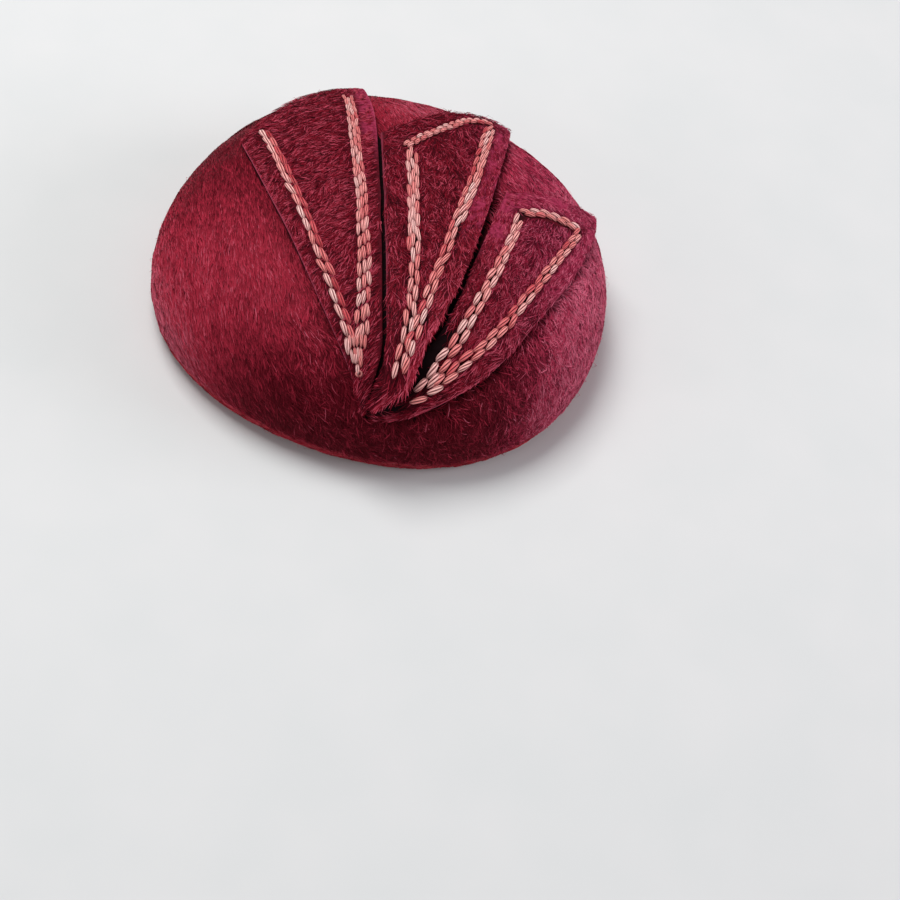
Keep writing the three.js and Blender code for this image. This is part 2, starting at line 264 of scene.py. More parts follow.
# Bearing and stage of places of the crown's felt laid flat round its top
def felt_stage(places):
    bearing = np.arctan2(places[..., 1], places[..., 0]) % (2 * math.pi)
    distance = apart(places, (0, 0)) / TABLE_STEP
    row = bearing / (2 * math.pi) * TABLE_BEARINGS
    i = np.clip(row.astype(int), 0, TABLE_BEARINGS - 1)
    j = np.clip(distance.astype(int), 0, STAGE_AT.shape[1] - 2)
    a, b = row - i, np.clip(distance - j, 0, 1)
    low = STAGE_AT[i, j] * (1 - b) + STAGE_AT[i, j + 1] * b
    high = STAGE_AT[i + 1, j] * (1 - b) + STAGE_AT[i + 1, j + 1] * b
    return bearing, low * (1 - a) + high * a


# Points over places of the flat felt, raised square to it
def felt_point(places, lift=0.0):
    bearing, stage = felt_stage(places)
    lift = np.asarray(lift)[..., None] * np.ones(bearing.shape + (1,))
    return crown_point(bearing, stage) + crown_normal(bearing, stage) * lift


# A smooth random field, from about -1 to 1, that changes over a wavelength
def drift(places, wavelength, seed, waves=14):
    rng = np.random.default_rng(seed)
    total = np.zeros(places.shape[:-1])
    for _ in range(waves):
        angle, phase = rng.uniform(0, 2 * math.pi, 2)
        number = 2 * math.pi / (wavelength * rng.uniform(0.7, 1.5))
        along = places[..., 0] * math.cos(angle) + places[..., 1] * math.sin(angle)
        total += np.sin(along * number + phase)
    return total / math.sqrt(waves)


def smooth_step(value, low, high):
    t = np.clip((value - low) / (high - low), 0, 1)
    return t * t * (3 - 2 * t)


# The same with its ends in millimetres
def smooth_mm(value, low, high):
    return smooth_step(value, low * MM, high * MM)


# A value between a pair for the tip and the far end, at a share of the way from the far end
def toward_tip(pair, share):
    return pair[1] * (1 - share) + pair[0] * share


# A table's column at shares, its rows joined by straight lines whose corners are softened
def table_value(rows, column, at):
    columns = list(zip(*rows))
    fine = np.linspace(-0.1, 1.1, 481)
    values = np.interp(fine, columns[0], columns[column])
    window = np.hanning(31)
    soft = np.convolve(np.pad(values, 15, mode="edge"), window / window.sum(), mode="valid")
    return np.interp(at, fine, soft)


def interpolate(at, known, vectors):
    return np.stack([np.interp(at, known, column) for column in vectors.T], axis=-1)


# How far flat places lie from one point
def apart(places, point):
    return np.hypot(places[..., 0] - point[0], places[..., 1] - point[1])


# Area that two flat vectors span, positive where the second lies to the left of the first
def spanned(a, b):
    return a[..., 0] * b[..., 1] - a[..., 1] * b[..., 0]


# A smooth centripetal curve through flat places, with its points and directions at shares of its length
class FeltCurve:
    def __init__(self, places, samples=60):
        p = np.asarray(places, float)
        p = np.vstack([2 * p[0] - p[1], p, 2 * p[-1] - p[-2]])
        t = np.linspace(0, 1, samples, endpoint=False)[:, None]
        pieces = [self.span(*p[i : i + 4], t) for i in range(len(p) - 3)]
        self.points = np.vstack([*pieces, p[-2:-1]])
        self.lengths = travelled(self.points)
        self.length = self.lengths[-1]

    @staticmethod
    def span(a, b, c, d, t):
        da, db, dc = (math.sqrt(np.linalg.norm(v)) for v in (b - a, c - b, d - c))
        start = ((b - a) / da - (c - a) / (da + db) + (c - b) / db) * db
        end = ((c - b) / db - (d - b) / (db + dc) + (d - c) / dc) * db
        cubic = 2 * b - 2 * c + start + end
        square = -3 * b + 3 * c - 2 * start - end
        return b + t * (start + t * (square + t * cubic))

    def at(self, share):
        return interpolate(np.asarray(share) * self.length, self.lengths, self.points)

    def direction(self, share):
        step = 0.004
        return unit(self.at(np.minimum(share + step, 1)) - self.at(np.maximum(share - step, 0)))


# A fin's edge from its table. Side is 1 for the left edge and -1 for the right one.
def table_edge(fin, tip, heading, rows, side):
    own = [(0, side * TIP_WIDTH / 2)]
    own += [(fin["length"] * along, side * fin["width"] * across) for along, across in rows]
    cos, sin = math.cos(heading), math.sin(heading)
    return FeltCurve([(tip[0] + x * cos - y * sin, tip[1] + x * sin + y * cos) for x, y in own])


# A fin's left edge beside the right edge of the fin before it
def following_edge(fin, tip, heading, neighbour):
    steps = 12
    first, last = fin["follow"]
    places = [(tip[0] - TIP_WIDTH / 2 * math.sin(heading), tip[1] + TIP_WIDTH / 2 * math.cos(heading))]
    for i in range(steps + 1):
        at = i / steps
        share = first * (1 - at) + last * at
        parting = np.interp(at, *zip(*fin["partings"]))
        beside = neighbour.direction(share)
        place = neighbour.at(share)
        places.append((place[0] + beside[1] * parting, place[1] - beside[0] * parting))
    return FeltCurve(places)


# A fin laid out on the flat felt, with the surfaces that it makes over the crown
class Fin:
    def __init__(self, table, tip, heading, before):
        self.table = table
        self.name = table["name"]
        self.rows = table["rows"]
        self.axis = np.array([math.cos(heading), math.sin(heading)])
        self.right = table_edge(table, tip, heading, table["right_edge"], -1)
        if "left_edge" in table:
            self.left = table_edge(table, tip, heading, table["left_edge"], 1)
        else:
            self.left = following_edge(table, tip, heading, before.right)

    def place(self, along, across):
        peak = self.table["far_peak"]
        along = np.clip(along, 0, 1)
        inside = np.clip(across, 0, 1)
        swell = (inside / peak) ** (2 * peak) * ((1 - inside) / (1 - peak)) ** (2 * (1 - peak))
        mixed = self.left.at(along) * (1 - across[..., None]) + self.right.at(along) * across[..., None]
        bulge = self.table["far_bulge"] * swell * along**FAR_REACH
        return mixed + self.axis * bulge[..., None]

    def lift(self, along, across):
        left, middle, right = (table_value(self.table["lifts"], column, along) for column in (1, 2, 3))
        outwards = np.abs(2 * across - 1) ** LIFT_CURVE
        edge = np.where(across < 0.5, left, right)
        return PASS_HEIGHT * (middle * (1 - outwards) + edge * outwards)

    # A point of the fin. Layer 0 is its underside and 1 its top.
    def point(self, along, across, layer=1.0):
        lift = SEAT_GAP + self.lift(along, across) + layer * FIN_FELT
        return felt_point(self.place(along, across), lift)

    # Top point, normal, and direction along the fin
    def top(self, along, across):
        step = 2e-3
        low, high = np.clip(along - step, 0, 1), np.clip(along + step, 0, 1)
        left, right = np.clip(across - step, 0, 1), np.clip(across + step, 0, 1)
        up = self.point(high, across) - self.point(low, across)
        over = self.point(along, right) - self.point(along, left)
        return self.point(along, across), unit(np.cross(over, up)), unit(up)

    # Greatest width, greatest length and area of the felt that the fin was cut from, in the sheet's middle
    def cut_size(self):
        along, across = np.meshgrid(np.linspace(0, 1, 90), np.linspace(0, 1, 30), indexing="ij")
        points = self.point(along, across, layer=0.5)
        ahead, aside = np.diff(points, axis=0), np.diff(points, axis=1)
        length = np.linalg.norm(ahead, axis=-1).sum(axis=0).max()
        width = np.linalg.norm(points[:, -1] - points[:, 0], axis=-1).max()
        area = np.linalg.norm(np.cross(ahead[:, :-1], aside[:-1]), axis=-1).sum()
        return float(width), float(length), float(area)

    def width(self, along):
        return np.maximum(np.linalg.norm(self.left.at(along) - self.right.at(along), axis=-1), TIP_WIDTH)

    # Shares along and across of a stitch row, moved aside by widths of it at the far end and the tip
    def stitch_route(self, row, share, asides=(0, 0)):
        size = np.array([self.table["length"], self.table["width"]])
        along, across = (FeltCurve(row["route"] * size).at(share) / size).T
        ahead = unit(np.gradient(self.place(along, across), axis=0))
        aside = (asides[0] * (1 - share) + asides[1] * share) * toward_tip(row["width"], share)
        shift = np.stack([-ahead[:, 1], ahead[:, 0]], axis=-1) * aside[:, None]
        step = 1e-3
        by_along = (self.place(along + step, across) - self.place(along - step, across)) / (2 * step)
        by_across = (self.place(along, across + step) - self.place(along, across - step)) / (2 * step)
        area = spanned(by_along, by_across)
        along = along + spanned(shift, by_across) / area
        across = across + spanned(by_along, shift) / area
        return np.clip(along, 0.01, 0.99), np.clip(across, 0.02, 0.98)

    # False where the stitches press the pile down
    def clear_of_stitches(self, along, across):
        places = self.place(along, across)
        clear = np.ones(len(places), bool)
        share = np.linspace(0, 1, 90)
        for row in self.rows.values():
            for far_aside, tip_aside, _, _, start, end, _ in row["columns"]:
                stitched = share[(share >= start) & (share <= end)]
                for point in self.place(*self.stitch_route(row, stitched, (far_aside, tip_aside))):
                    clear &= apart(places, point) > 0.5 * sum(row["width"]) / 2
        return clear

    # 1 under a row of stitches, and 0 away from it: where painted shadow darkens the felt round the stitches
    def stitched(self, along, across):
        places = self.place(along, across)
        inside = np.zeros(along.shape)
        for row in self.rows.values():
            for share in np.linspace(0, 0.96, 90):
                point = self.place(*self.stitch_route(row, np.array([share, share + 0.01])))[0]
                half = toward_tip(row["width"], share) * (0.4 + max(abs(c[0]) for c in row["columns"]))
                inside = np.maximum(inside, 1 - smooth_step(apart(places, point), 0.7 * half, 1.25 * half))
        return inside

    # How far places lie to the right of a stitch row, as shares across the fin
    def right_of_row(self, name, along, across):
        return across - np.interp(along, *zip(*sorted(self.rows[name]["route"])))

    # 1 in the margin beyond the fin's top row of stitches, and 0 below it
    def beyond_top(self, along, across):
        if "top" not in self.rows:
            return np.zeros(along.shape)
        order = sorted((c, a) for a, c in self.rows["top"]["route"])
        return smooth_step(along - np.interp(across, *zip(*order)), 0.01, 0.04)

    # How smooth the felt is, from 0 in the pile to 1 in the margins beside the stitches
    def smoothness(self, along, across):
        smooth = self.beyond_top(along, across) * self.table["smooth_top"]
        for name, side, start in self.table["smooth_beside"]:
            beside = smooth_step(self.right_of_row(name, along, across) * side, 0.03, 0.1)
            smooth = np.maximum(smooth, beside * smooth_step(along, start, start + 0.2))
        return smooth

    # How deep in shade the felt lies under the edge and the tip of the fin beside it, from 0 to 1
    def shading(self, along, across):
        if "shaded_until" not in self.table:
            return np.zeros(along.shape)
        end = self.table["shaded_until"]
        beside = smooth_step(-self.right_of_row("left", along, across), 0.05, 0.12)
        under_tip = (1 - smooth_step(along, 0.09, 0.13)) * (1 - smooth_step(across, 0.6, 0.82))
        return np.maximum(beside * (1 - smooth_step(along, end - 0.15, end)), under_tip)


def lay_out_fins():
    laid = [None]
    tip = np.array([0, -FRONT_DOME_LENGTH])
    heading = 0
    for table in FINS:
        tip = tip + table["tip_step"]
        heading += math.radians(table["turn"])
        laid.append(Fin(table, tip, heading, laid[-1]))
    return laid[1:]


# An object from points and arrays of faces, with named values or vectors on its points
def mesh_object(name, points, faces, values):
    mesh = bpy.data.meshes.new(name)
    sizes = np.concatenate([np.full(len(f), f.shape[1]) for f in faces])
    corners = np.concatenate([f.ravel() for f in faces])
    mesh.vertices.add(len(points))
    mesh.vertices.foreach_set("co", np.asarray(points, np.float32).ravel())
    mesh.loops.add(len(corners))
    mesh.loops.foreach_set("vertex_index", corners.astype(np.int32))
    mesh.polygons.add(len(sizes))
    mesh.polygons.foreach_set("loop_start", (np.cumsum(sizes) - sizes).astype(np.int32))
    mesh.update(calc_edges=True)
    mesh.shade_smooth()
    for label, data in values.items():
        kind, field = ("FLOAT", "value") if np.ndim(data) == 1 else ("FLOAT_VECTOR", "vector")
        layer = mesh.attributes.new(label, kind, "POINT")
        layer.data.foreach_set(field, np.asarray(data, np.float32).ravel())
    piece = bpy.data.objects.new(name, mesh)
    bpy.context.scene.collection.objects.link(piece)
    return piece


# Four-cornered faces between rows of points, each as long as the others. Closed joins each row's ends.
def grid_faces(rows, columns, closed=False, first=0):
    i, j = np.meshgrid(np.arange(rows - 1), np.arange(columns if closed else columns - 1), indexing="ij")
    a = first + i * columns + j
    d = first + i * columns + (j + 1) % columns
    return np.stack([a, a + columns, d + columns, d], axis=-1).reshape(-1, 4)


# Stages of the rings of the crown's dome and of its tuck, down to where the rim's rounding starts
def ring_stages(dome_rings, tuck_rings):
    rim = 2 - RIM_ROUNDING / WIDEST_HEIGHT * 0.75
    dome, tuck = np.linspace(0, 1, dome_rings + 1), np.linspace(1, rim, tuck_rings + 1)
    return np.concatenate([dome[1:], tuck[1:]])[:, None]


# The rim's rings between the outer and the inner face, rounded at both edges
def rim_rings(outer, inner, steps=6):
    share = RIM_ROUNDING / CROWN_WALL
    turns = np.linspace(0, math.pi / 2, steps + 1)[1:]
    ways = [(share * (1 - math.cos(turn)), 1 - math.sin(turn)) for turn in turns]
    ways += [(1 - across, height) for across, height in reversed(ways)]
    return np.array([(outer * (1 - across) + inner * across) * (1, 1, height) for across, height in ways])


# The crown: outer face, rounded rim edge and inner face as one closed shell
def make_crown(fins):
    count = 128  # points of a ring
    bearings = np.arange(count) * 2 * math.pi / count
    outer_stages, inner_stages = ring_stages(44, 8), ring_stages(24, 4)[::-1]
    outer = crown_point(bearings, outer_stages)
    texture = felt_texture_places(bearings, outer_stages[:, 0])
    raised = felt_swell(texture) - PILE_DEPTH * (1 - smooth_mm(-outer[..., 2], -4, -2))
    outer = outer + crown_normal(bearings, outer_stages) * raised[..., None]
    outward = crown_normal(bearings, np.minimum(inner_stages, 1))
    outward[inner_stages[:, 0] >= 1, :, 2] = 0
    inner = crown_point(bearings, inner_stages) - unit(outward) * CROWN_WALL
    rings = np.concatenate([outer, rim_rings(outer[-1], inner[0]), inner])
    top = crown_point(0.0, 0.0)[None]
    top_inner = top - [[0, 0, CROWN_WALL]]
    first, last = 2, 2 + (len(rings) - 1) * count  # a ring's points follow the two tops
    j = np.arange(count)
    k = (j + 1) % count
    cap = np.stack([np.zeros(count, int), first + j, first + k], axis=-1)
    cap_inner = np.stack([np.ones(count, int), last + k, last + j], axis=-1)
    bare = np.ones(rings.shape[:2])
    bare[: len(outer)] = smooth_mm(-outer[..., 2], -2.6, -1.2)
    flows = rings.copy()
    flows[: len(outer)] = texture
    flat = texture[..., :2]
    beside = sum(under_fin(fin, flat.reshape(-1, 2), 2.6 * MM).astype(int) for fin in fins)
    between = (beside > 1).reshape(flat.shape[:-1])
    # The tone carries the crown's painted light and shade, and near-black painted shade between two fins.
    tone = np.zeros(rings.shape[:2])
    tone[: len(outer)] = np.where(between, 0, crown_painted_light_and_shade(fins, flat, outer))
    hue = crown_hue_and_sheen(rings)
    return mesh_object(
        "crown_felt",
        np.concatenate([top, top_inner, rings.reshape(-1, 3)]),
        [grid_faces(len(rings), count, closed=True, first=first), cap, cap_inner],
        {
            "bare": np.concatenate([[0, 1], bare.ravel()]),
            "tone": np.concatenate([[tone[0, 0], 0], tone.ravel()]),
            "hue": np.concatenate([[hue[0, 0], 0.5], hue.ravel()]),
            "fibre": np.concatenate([texture[:1, 0], top_inner, flows.reshape(-1, 3)]),
        },
    )


# Places of the crown's felt laid flat, for the texture of its fibres
def felt_texture_places(bearings, stages):
    table_rows = FELT_LENGTHS[np.round(bearings / (2 * math.pi) * TABLE_BEARINGS).astype(int)]
    length = np.stack([np.interp(stages, TABLE_STAGES, row) for row in table_rows], axis=-1)
    return np.stack([length * np.cos(bearings), length * np.sin(bearings), np.zeros_like(length)], axis=-1)


# How deep the crown's felt lies in the shade of a fin's edge, over a reach from that edge. Side is 1 for the
# right edge and -1 for the left one.
def edge_shade(fin, places, side, reach, end):
    shares = np.linspace(0.03, end, 40)
    edge = (fin.right if side > 0 else fin.left).at(shares)
    nearest = np.ones(places.shape[:-1])
    fading = np.zeros(places.shape[:-1])
    for share, point in zip(shares, edge):
        distance = apart(places, point)
        fading = np.where(distance < nearest, 1 - smooth_step(share, 0.6 * end, end), fading)
        nearest = np.minimum(nearest, distance)
    return (1 - smooth_step(nearest, 0.1 * reach, reach)) * fading


# How light the crown's felt is painted, from 0 to 1: painted shade low at the front and at the upper left,
# painted shadow beside the right edge of the right fin and the left edge of the left fin, painted light on
# the right side, low on the left and on the top, and the rim's lighter band.
def crown_painted_light_and_shade(fins, places, points):
    x, y, z = np.moveaxis(points, -1, 0)
    front = smooth_mm(-y, 24, 62) * smooth_mm(-z, -48, -24) * smooth_mm(x, -58, -18)
    front = front * (1 - 0.3 * smooth_mm(x, 40, 60))
    side = smooth_mm(x, 38, 62)
    low_left = smooth_mm(-x, 26, 64) * smooth_mm(-z, -32, -8)
    upper_left = smooth_mm(-x, 0, 36) * smooth_mm(y, -36, 22)
    top = smooth_mm(y, 34, 54) * smooth_mm(x, -34, -8) * (1 - smooth_mm(x, 20, 40))
    sides = (0.38 * side + 0.42 * low_left) * (1 - 0.7 * front)
    tone = 0.43 - 0.38 * front + sides - 0.36 * upper_left + 0.28 * top
    tone = tone - 0.34 * edge_shade(fins[2], places, 1, 24 * MM, 0.7)
    tone = tone - 0.16 * edge_shade(fins[0], places, -1, 6 * MM, 0.9)
    rim = smooth_mm(-z, -8, -6)
    return np.clip(tone * (1 - rim) + 0.66 * rim, 0, 1)


# The hue of the crown's felt: 0 is the red of the rim, 0.5 crimson and 1 the purple of a painted sheen on
# the right side
def crown_hue_and_sheen(points):
    sheen_purple = 0.9 * smooth_mm(points[..., 0] + 0.3 * points[..., 1], 15, 66)
    rim = smooth_mm(-points[..., 2], -7.5, -5.5)
    return 0.5 + 0.5 * sheen_purple * (1 - rim) - 0.5 * rim


# Soft unevenness of hand-blocked felt
def felt_swell(places):
    return 0.1 * MM * drift(places, 12 * MM, 5)


# A fin as one closed sheet with rounded cut edges. Its top and underside are grids that share their border.
def make_fin(fin, seed):
    rows, columns = 84, 32
    edge = np.array([0, 0.12, 0.3, 0.6, 1]) * CUT_EDGE
    shares = []
    for size, steps in ((fin.right.length, rows), (0.75 * fin.table["width"], columns)):
        border = edge / size
        middle = np.linspace(border[-1], 1 - border[-1], steps)[1:-1]
        shares.append(np.concatenate([border, middle, 1 - border[::-1]]))
    a, c = np.meshgrid(*shares, indexing="ij")
    place = fin.place(a, c)
    ends = np.minimum(a, 1 - a) * fin.right.length
    sides = np.minimum(c, 1 - c) * fin.width(a)
    inward = np.clip(np.minimum(ends, sides) / CUT_EDGE, 0, 1)
    profile = (1 - (1 - inward) ** EDGE_ROUNDNESS) ** (1 / EDGE_ROUNDNESS)
    wave = 0.1 * MM * drift(place, 12 * MM, seed) * smooth_step(a, 0.05, 0.3)
    middle = SEAT_GAP + fin.lift(a, c) + FIN_FELT / 2 + wave
    frayed = 0.1 * MM * drift(place, 2.5 * MM, seed + 1)
    top = felt_point(place, middle + (FIN_FELT / 2 + frayed * inward) * profile)
    bottom = felt_point(place, np.maximum(middle - FIN_FELT / 2 * profile, 0.05 * MM))
    index = np.arange(a.size).reshape(a.shape)
    under = index + a.size
    for border in (np.s_[[0, -1], :], np.s_[:, [0, -1]]):
        under[border] = index[border]
    faces = grid_faces(*a.shape)
    upper, lower = faces[:, [0, 3, 2, 1]], under.ravel()[faces]
    used = np.unique(np.concatenate([upper.ravel(), lower.ravel()]))
    renumber = np.zeros(2 * a.size, int)
    renumber[used] = np.arange(len(used))
    # Cut edges are lighter, partly their own colour and partly a painted highlight.
    lights = fin.table["light_edges"]
    strength = np.where(c < 0.5, table_value(lights, 1, a), table_value(lights, 2, a))
    looks = {
        "cut_edge_and_highlight": (1 - np.clip(sides / LIGHT_EDGE, 0, 1)) * strength,
        "smooth": fin.smoothness(a, c),
        # Painted shade where the fin beside it shades the felt, and painted shadow round the stitches.
        "shaded": np.maximum(fin.shading(a, c), 0.85 * fin.stitched(a, c)),
        "fibre": np.dstack([place, np.zeros(a.shape)]),
    }
    return mesh_object(
        fin.name + "_felt",
        np.concatenate([top.reshape(-1, 3), bottom.reshape(-1, 3)])[used],
        [renumber[upper], renumber[lower]],
        {key: np.concatenate([look.reshape(-1, *look.shape[2:])] * 2)[used] for key, look in looks.items()},
    )


# Stations along one fibre from its root to its tip, and how wide it is at each
FIBRE_STATIONS = [(0, 0.75), (0.38, 1), (0.74, 0.8), (1, 0)]
ROOT_DEPTH = 0.15 * MM
DOME_RADIUS = 70 * MM
FLOOR_CLEARANCE = 0.2 * MM


# Flat curved fibres that taper to a tip. Each starts just under the felt, rises and lies down along its way.
# The values are arrays with one entry for each fibre.
def fibre_mesh(name, root, normal, ahead, length, width, height, bend, wave, phase, tilt, shade, hue):
    side = np.cross(normal, ahead)
    across = side * np.cos(tilt)[:, None] + normal * np.sin(tilt)[:, None]
    corners = []
    for s, share in FIBRE_STATIONS:
        arch = height * math.sin(math.pi * (0.92 * s) ** 0.7)
        rise = arch - ROOT_DEPTH * (1 - s) - (length * s) ** 2 / (2 * DOME_RADIUS)
        sway = bend * s * s + wave * (np.sin(phase + 2 * math.pi * s) - np.sin(phase))
        centre = root + ahead * (length * s)[:, None] + side * sway[:, None] + normal * rise[:, None]
        half = (width / 2 * share)[:, None]
        corners += [centre - across * half, centre + across * half] if share else [centre]
    size = len(corners)
    points = np.stack(corners, axis=1).reshape(-1, 3)
    points[:, 2] = np.maximum(points[:, 2], FLOOR_CLEARANCE)
    first = size * np.arange(len(root))[:, None]
    quads = [first + [i, i + 1, i + 3, i + 2] for i in range(0, size - 3, 2)]
    tips = first + [size - 3, size - 2, size - 1]
    along = [s for s, share in FIBRE_STATIONS for _ in range(2 if share else 1)]
    values = {"shade": np.repeat(shade, size), "hue": np.repeat(hue, size)}
    values["along"] = np.tile(along, len(root))
    return mesh_object(name, points, [np.concatenate(quads), tips], values)


# Places of a jittered grid over a square round the middle
def scatter(rng, reach, spacing):
    line = np.arange(-reach, reach, spacing)
    grid = np.stack(np.meshgrid(line, line, indexing="ij"), axis=-1).reshape(-1, 2)
    return grid + rng.uniform(-0.6, 0.6, grid.shape) * spacing


# True for places that lie under a fin or within a margin of its edges
def under_fin(fin, places, margin):
    rows = np.linspace(0, 1, 80)
    far = fin.place(np.ones(25), np.linspace(0, 1, 25))
    outline = np.vstack([fin.left.at(rows), far[1:-1], fin.right.at(rows)[::-1]])
    ahead = unit(np.roll(outline, -1, axis=0) - np.roll(outline, 1, axis=0))
    outline = outline + np.stack([-ahead[:, 1], ahead[:, 0]], axis=-1) * margin
    inside = np.zeros(len(places), bool)
    x, y = places.T
    for p, q in zip(outline, np.roll(outline, -1, axis=0)):
        if p[1] != q[1]:
            crosses = (p[1] > y) != (q[1] > y)
            inside ^= crosses & (x < (q[0] - p[0]) * (y - p[1]) / (q[1] - p[1]) + p[0])
    return inside


# Bearing on the flat felt in which the crown's fibres were brushed, and how curly they are, from 0 to 1
def crown_brushing(places):
    x, y = places.T
    curl = 0.08 + 0.92 * smooth_mm(x - 0.5 * y, -15, 55)
    angle = math.radians(-73) + math.radians(36) * smooth_mm(x, -50, 20)
    angle = angle + drift(places, 16 * MM, 11) * (0.08 + 0.3 * curl)
    angle = angle + drift(places, 5 * MM, 12) * (0.05 + 0.5 * curl)
    return angle, curl


# The arrays that fibre_mesh takes, drawn for brushed fibres. Widths and heights have the least, the
# greatest and a factor. Stray has the share of fibres that stand higher, their factor of width and how much
# lighter their painted light makes them.
def draw_fibres(rng, root, normal, ahead, length, curl, widths, heights, shade, uneven, hue, stray):
    count = len(root)
    fibres = {
        "root": root,
        "normal": normal,
        "ahead": ahead,
        "length": length,
        "width": rng.uniform(*widths[:2], count) * MM * widths[2],
        "height": rng.uniform(*heights[:2], count) * MM * heights[2],
        "bend": rng.normal(0, 0.1, count) * length * (0.5 + 2 * curl),
        "wave": rng.normal(0, 0.12, count) * MM * curl,
        "phase": rng.uniform(0, 2 * math.pi, count),
        "tilt": rng.normal(0, 0.35, count),
        "shade": np.clip(shade + rng.normal(0, 1, count) * uneven, 0, 1),
        "hue": hue,
    }
    share, thinner, lighter = stray
    strays = rng.uniform(0, 1, count) < share
    fibres["height"][strays] *= 3
    fibres["width"][strays] *= thinner
    fibres["shade"][strays] = np.clip(fibres["shade"][strays] + lighter, 0, 1)
    return fibres


# Places on the crown's flat felt where pile grows: above the rim, beside the fins and not between two of them
def crown_pile_places(fins, rng):
    places = scatter(rng, TABLE_REACH, PILE_SPACING)
    bearing, stage = felt_stage(places)
    height = crown_point(bearing, stage)[:, 2] + crown_normal(bearing, stage)[:, 2] * felt_swell(places)
    reach = np.interp(bearing, ALL_ROUND, FELT_LENGTHS[:, -1])
    keep = (apart(places, (0, 0)) < reach) & (height > PILE_END)
    near = np.zeros(len(places), int)
    for fin in fins:
        keep &= ~under_fin(fin, places, 0.1 * MM)
        near += under_fin(fin, places, 2.2 * MM)
    return places[keep & (near < 2)]


# The crown's pile, in four pieces that each cover a quarter
def make_crown_pile(fins):
    rng = np.random.default_rng(21)
    places = crown_pile_places(fins, rng)
    count = len(places)
    bearing, stage = felt_stage(places)
    normal = crown_normal(bearing, stage)
    root = crown_point(bearing, stage) + normal * felt_swell(places)[:, None]
    angle, curl = crown_brushing(places)
    rim = smooth_mm(-root[:, 2], -12, -6)
    around = (bearing + math.pi / 2 - angle + math.pi) % (2 * math.pi) - math.pi
    curl = curl * (1 - 0.6 * rim)
    angle = angle + 0.85 * rim * around + rng.normal(0, 1, count) * (0.07 + 0.3 * curl)
    step = np.stack([np.cos(angle), np.sin(angle)], axis=-1) * 0.5 * MM
    ahead = felt_point(places + step) - root
    ahead = unit(ahead - normal * np.sum(ahead * normal, axis=1, keepdims=True))
    length = rng.uniform(2.2, 4.8, count) * MM * (1 + 0.3 * curl)
    length = np.minimum(length, (root[:, 2] - PILE_END + 0.6 * MM) / np.maximum(-ahead[:, 2], 0.05))
    shade = crown_painted_light_and_shade(fins, places, root)
    shade = shade + (0.03 + 0.06 * curl) * drift(places, 7 * MM, 31)
    shade = shade + (0.02 + 0.12 * curl) * drift(places, 2 * MM, 32)
    lower_back = 1 - 0.4 * smooth_mm(places[:, 1], 0, 45)
    fibres = draw_fibres(
        rng, root, normal, ahead, length, curl,
        widths=(0.16, 0.28, 1),
        heights=(0.08, 0.32, (1 + 1.6 * curl) * lower_back),
        shade=shade,
        uneven=0.13 * (1 + 0.9 * curl),
        hue=crown_hue_and_sheen(root),
        stray=(0.0015 + 0.003 * curl, 0.7, 0.3),
    )
    quarter = np.digitize(np.arctan2(places[:, 1], places[:, 0]), [-math.pi / 2, 0, math.pi / 2])
    pieces = []
    for number, label in enumerate(["front_left", "front_right", "back_right", "back_left"]):
        own = {key: value[quarter == number] for key, value in fibres.items()}
        pieces.append(fibre_mesh("crown_pile_" + label, **own))
    return pieces


# Shares along and across a fin where pile grows: clear of the stitches, the bare edges and the deep shade
def fin_pile_places(fin, rng):
    full_width = fin.table["width"] * 1.1
    rows, columns = int(fin.right.length / PILE_SPACING), int(full_width / PILE_SPACING)
    a = ((np.arange(rows)[:, None] + rng.uniform(0, 1, (rows, columns))) / rows).ravel()
    c = ((np.arange(columns) + rng.uniform(0, 1, (rows, columns))) / columns).ravel()
    width = fin.width(a)
    keep = (rng.uniform(0, 1, len(a)) < width / full_width) & fin.clear_of_stitches(a, c)
    hanging = a < np.where(c < 0.5, *fin.table["hang"])
    bare_left, bare_right = fin.table["bare"]
    keep &= ((c * width > bare_left) & ((1 - c) * width > bare_right)) | hanging
    keep &= rng.uniform(0, 1, len(a)) > fin.shading(a, c)
    return a[keep], c[keep], hanging[keep]


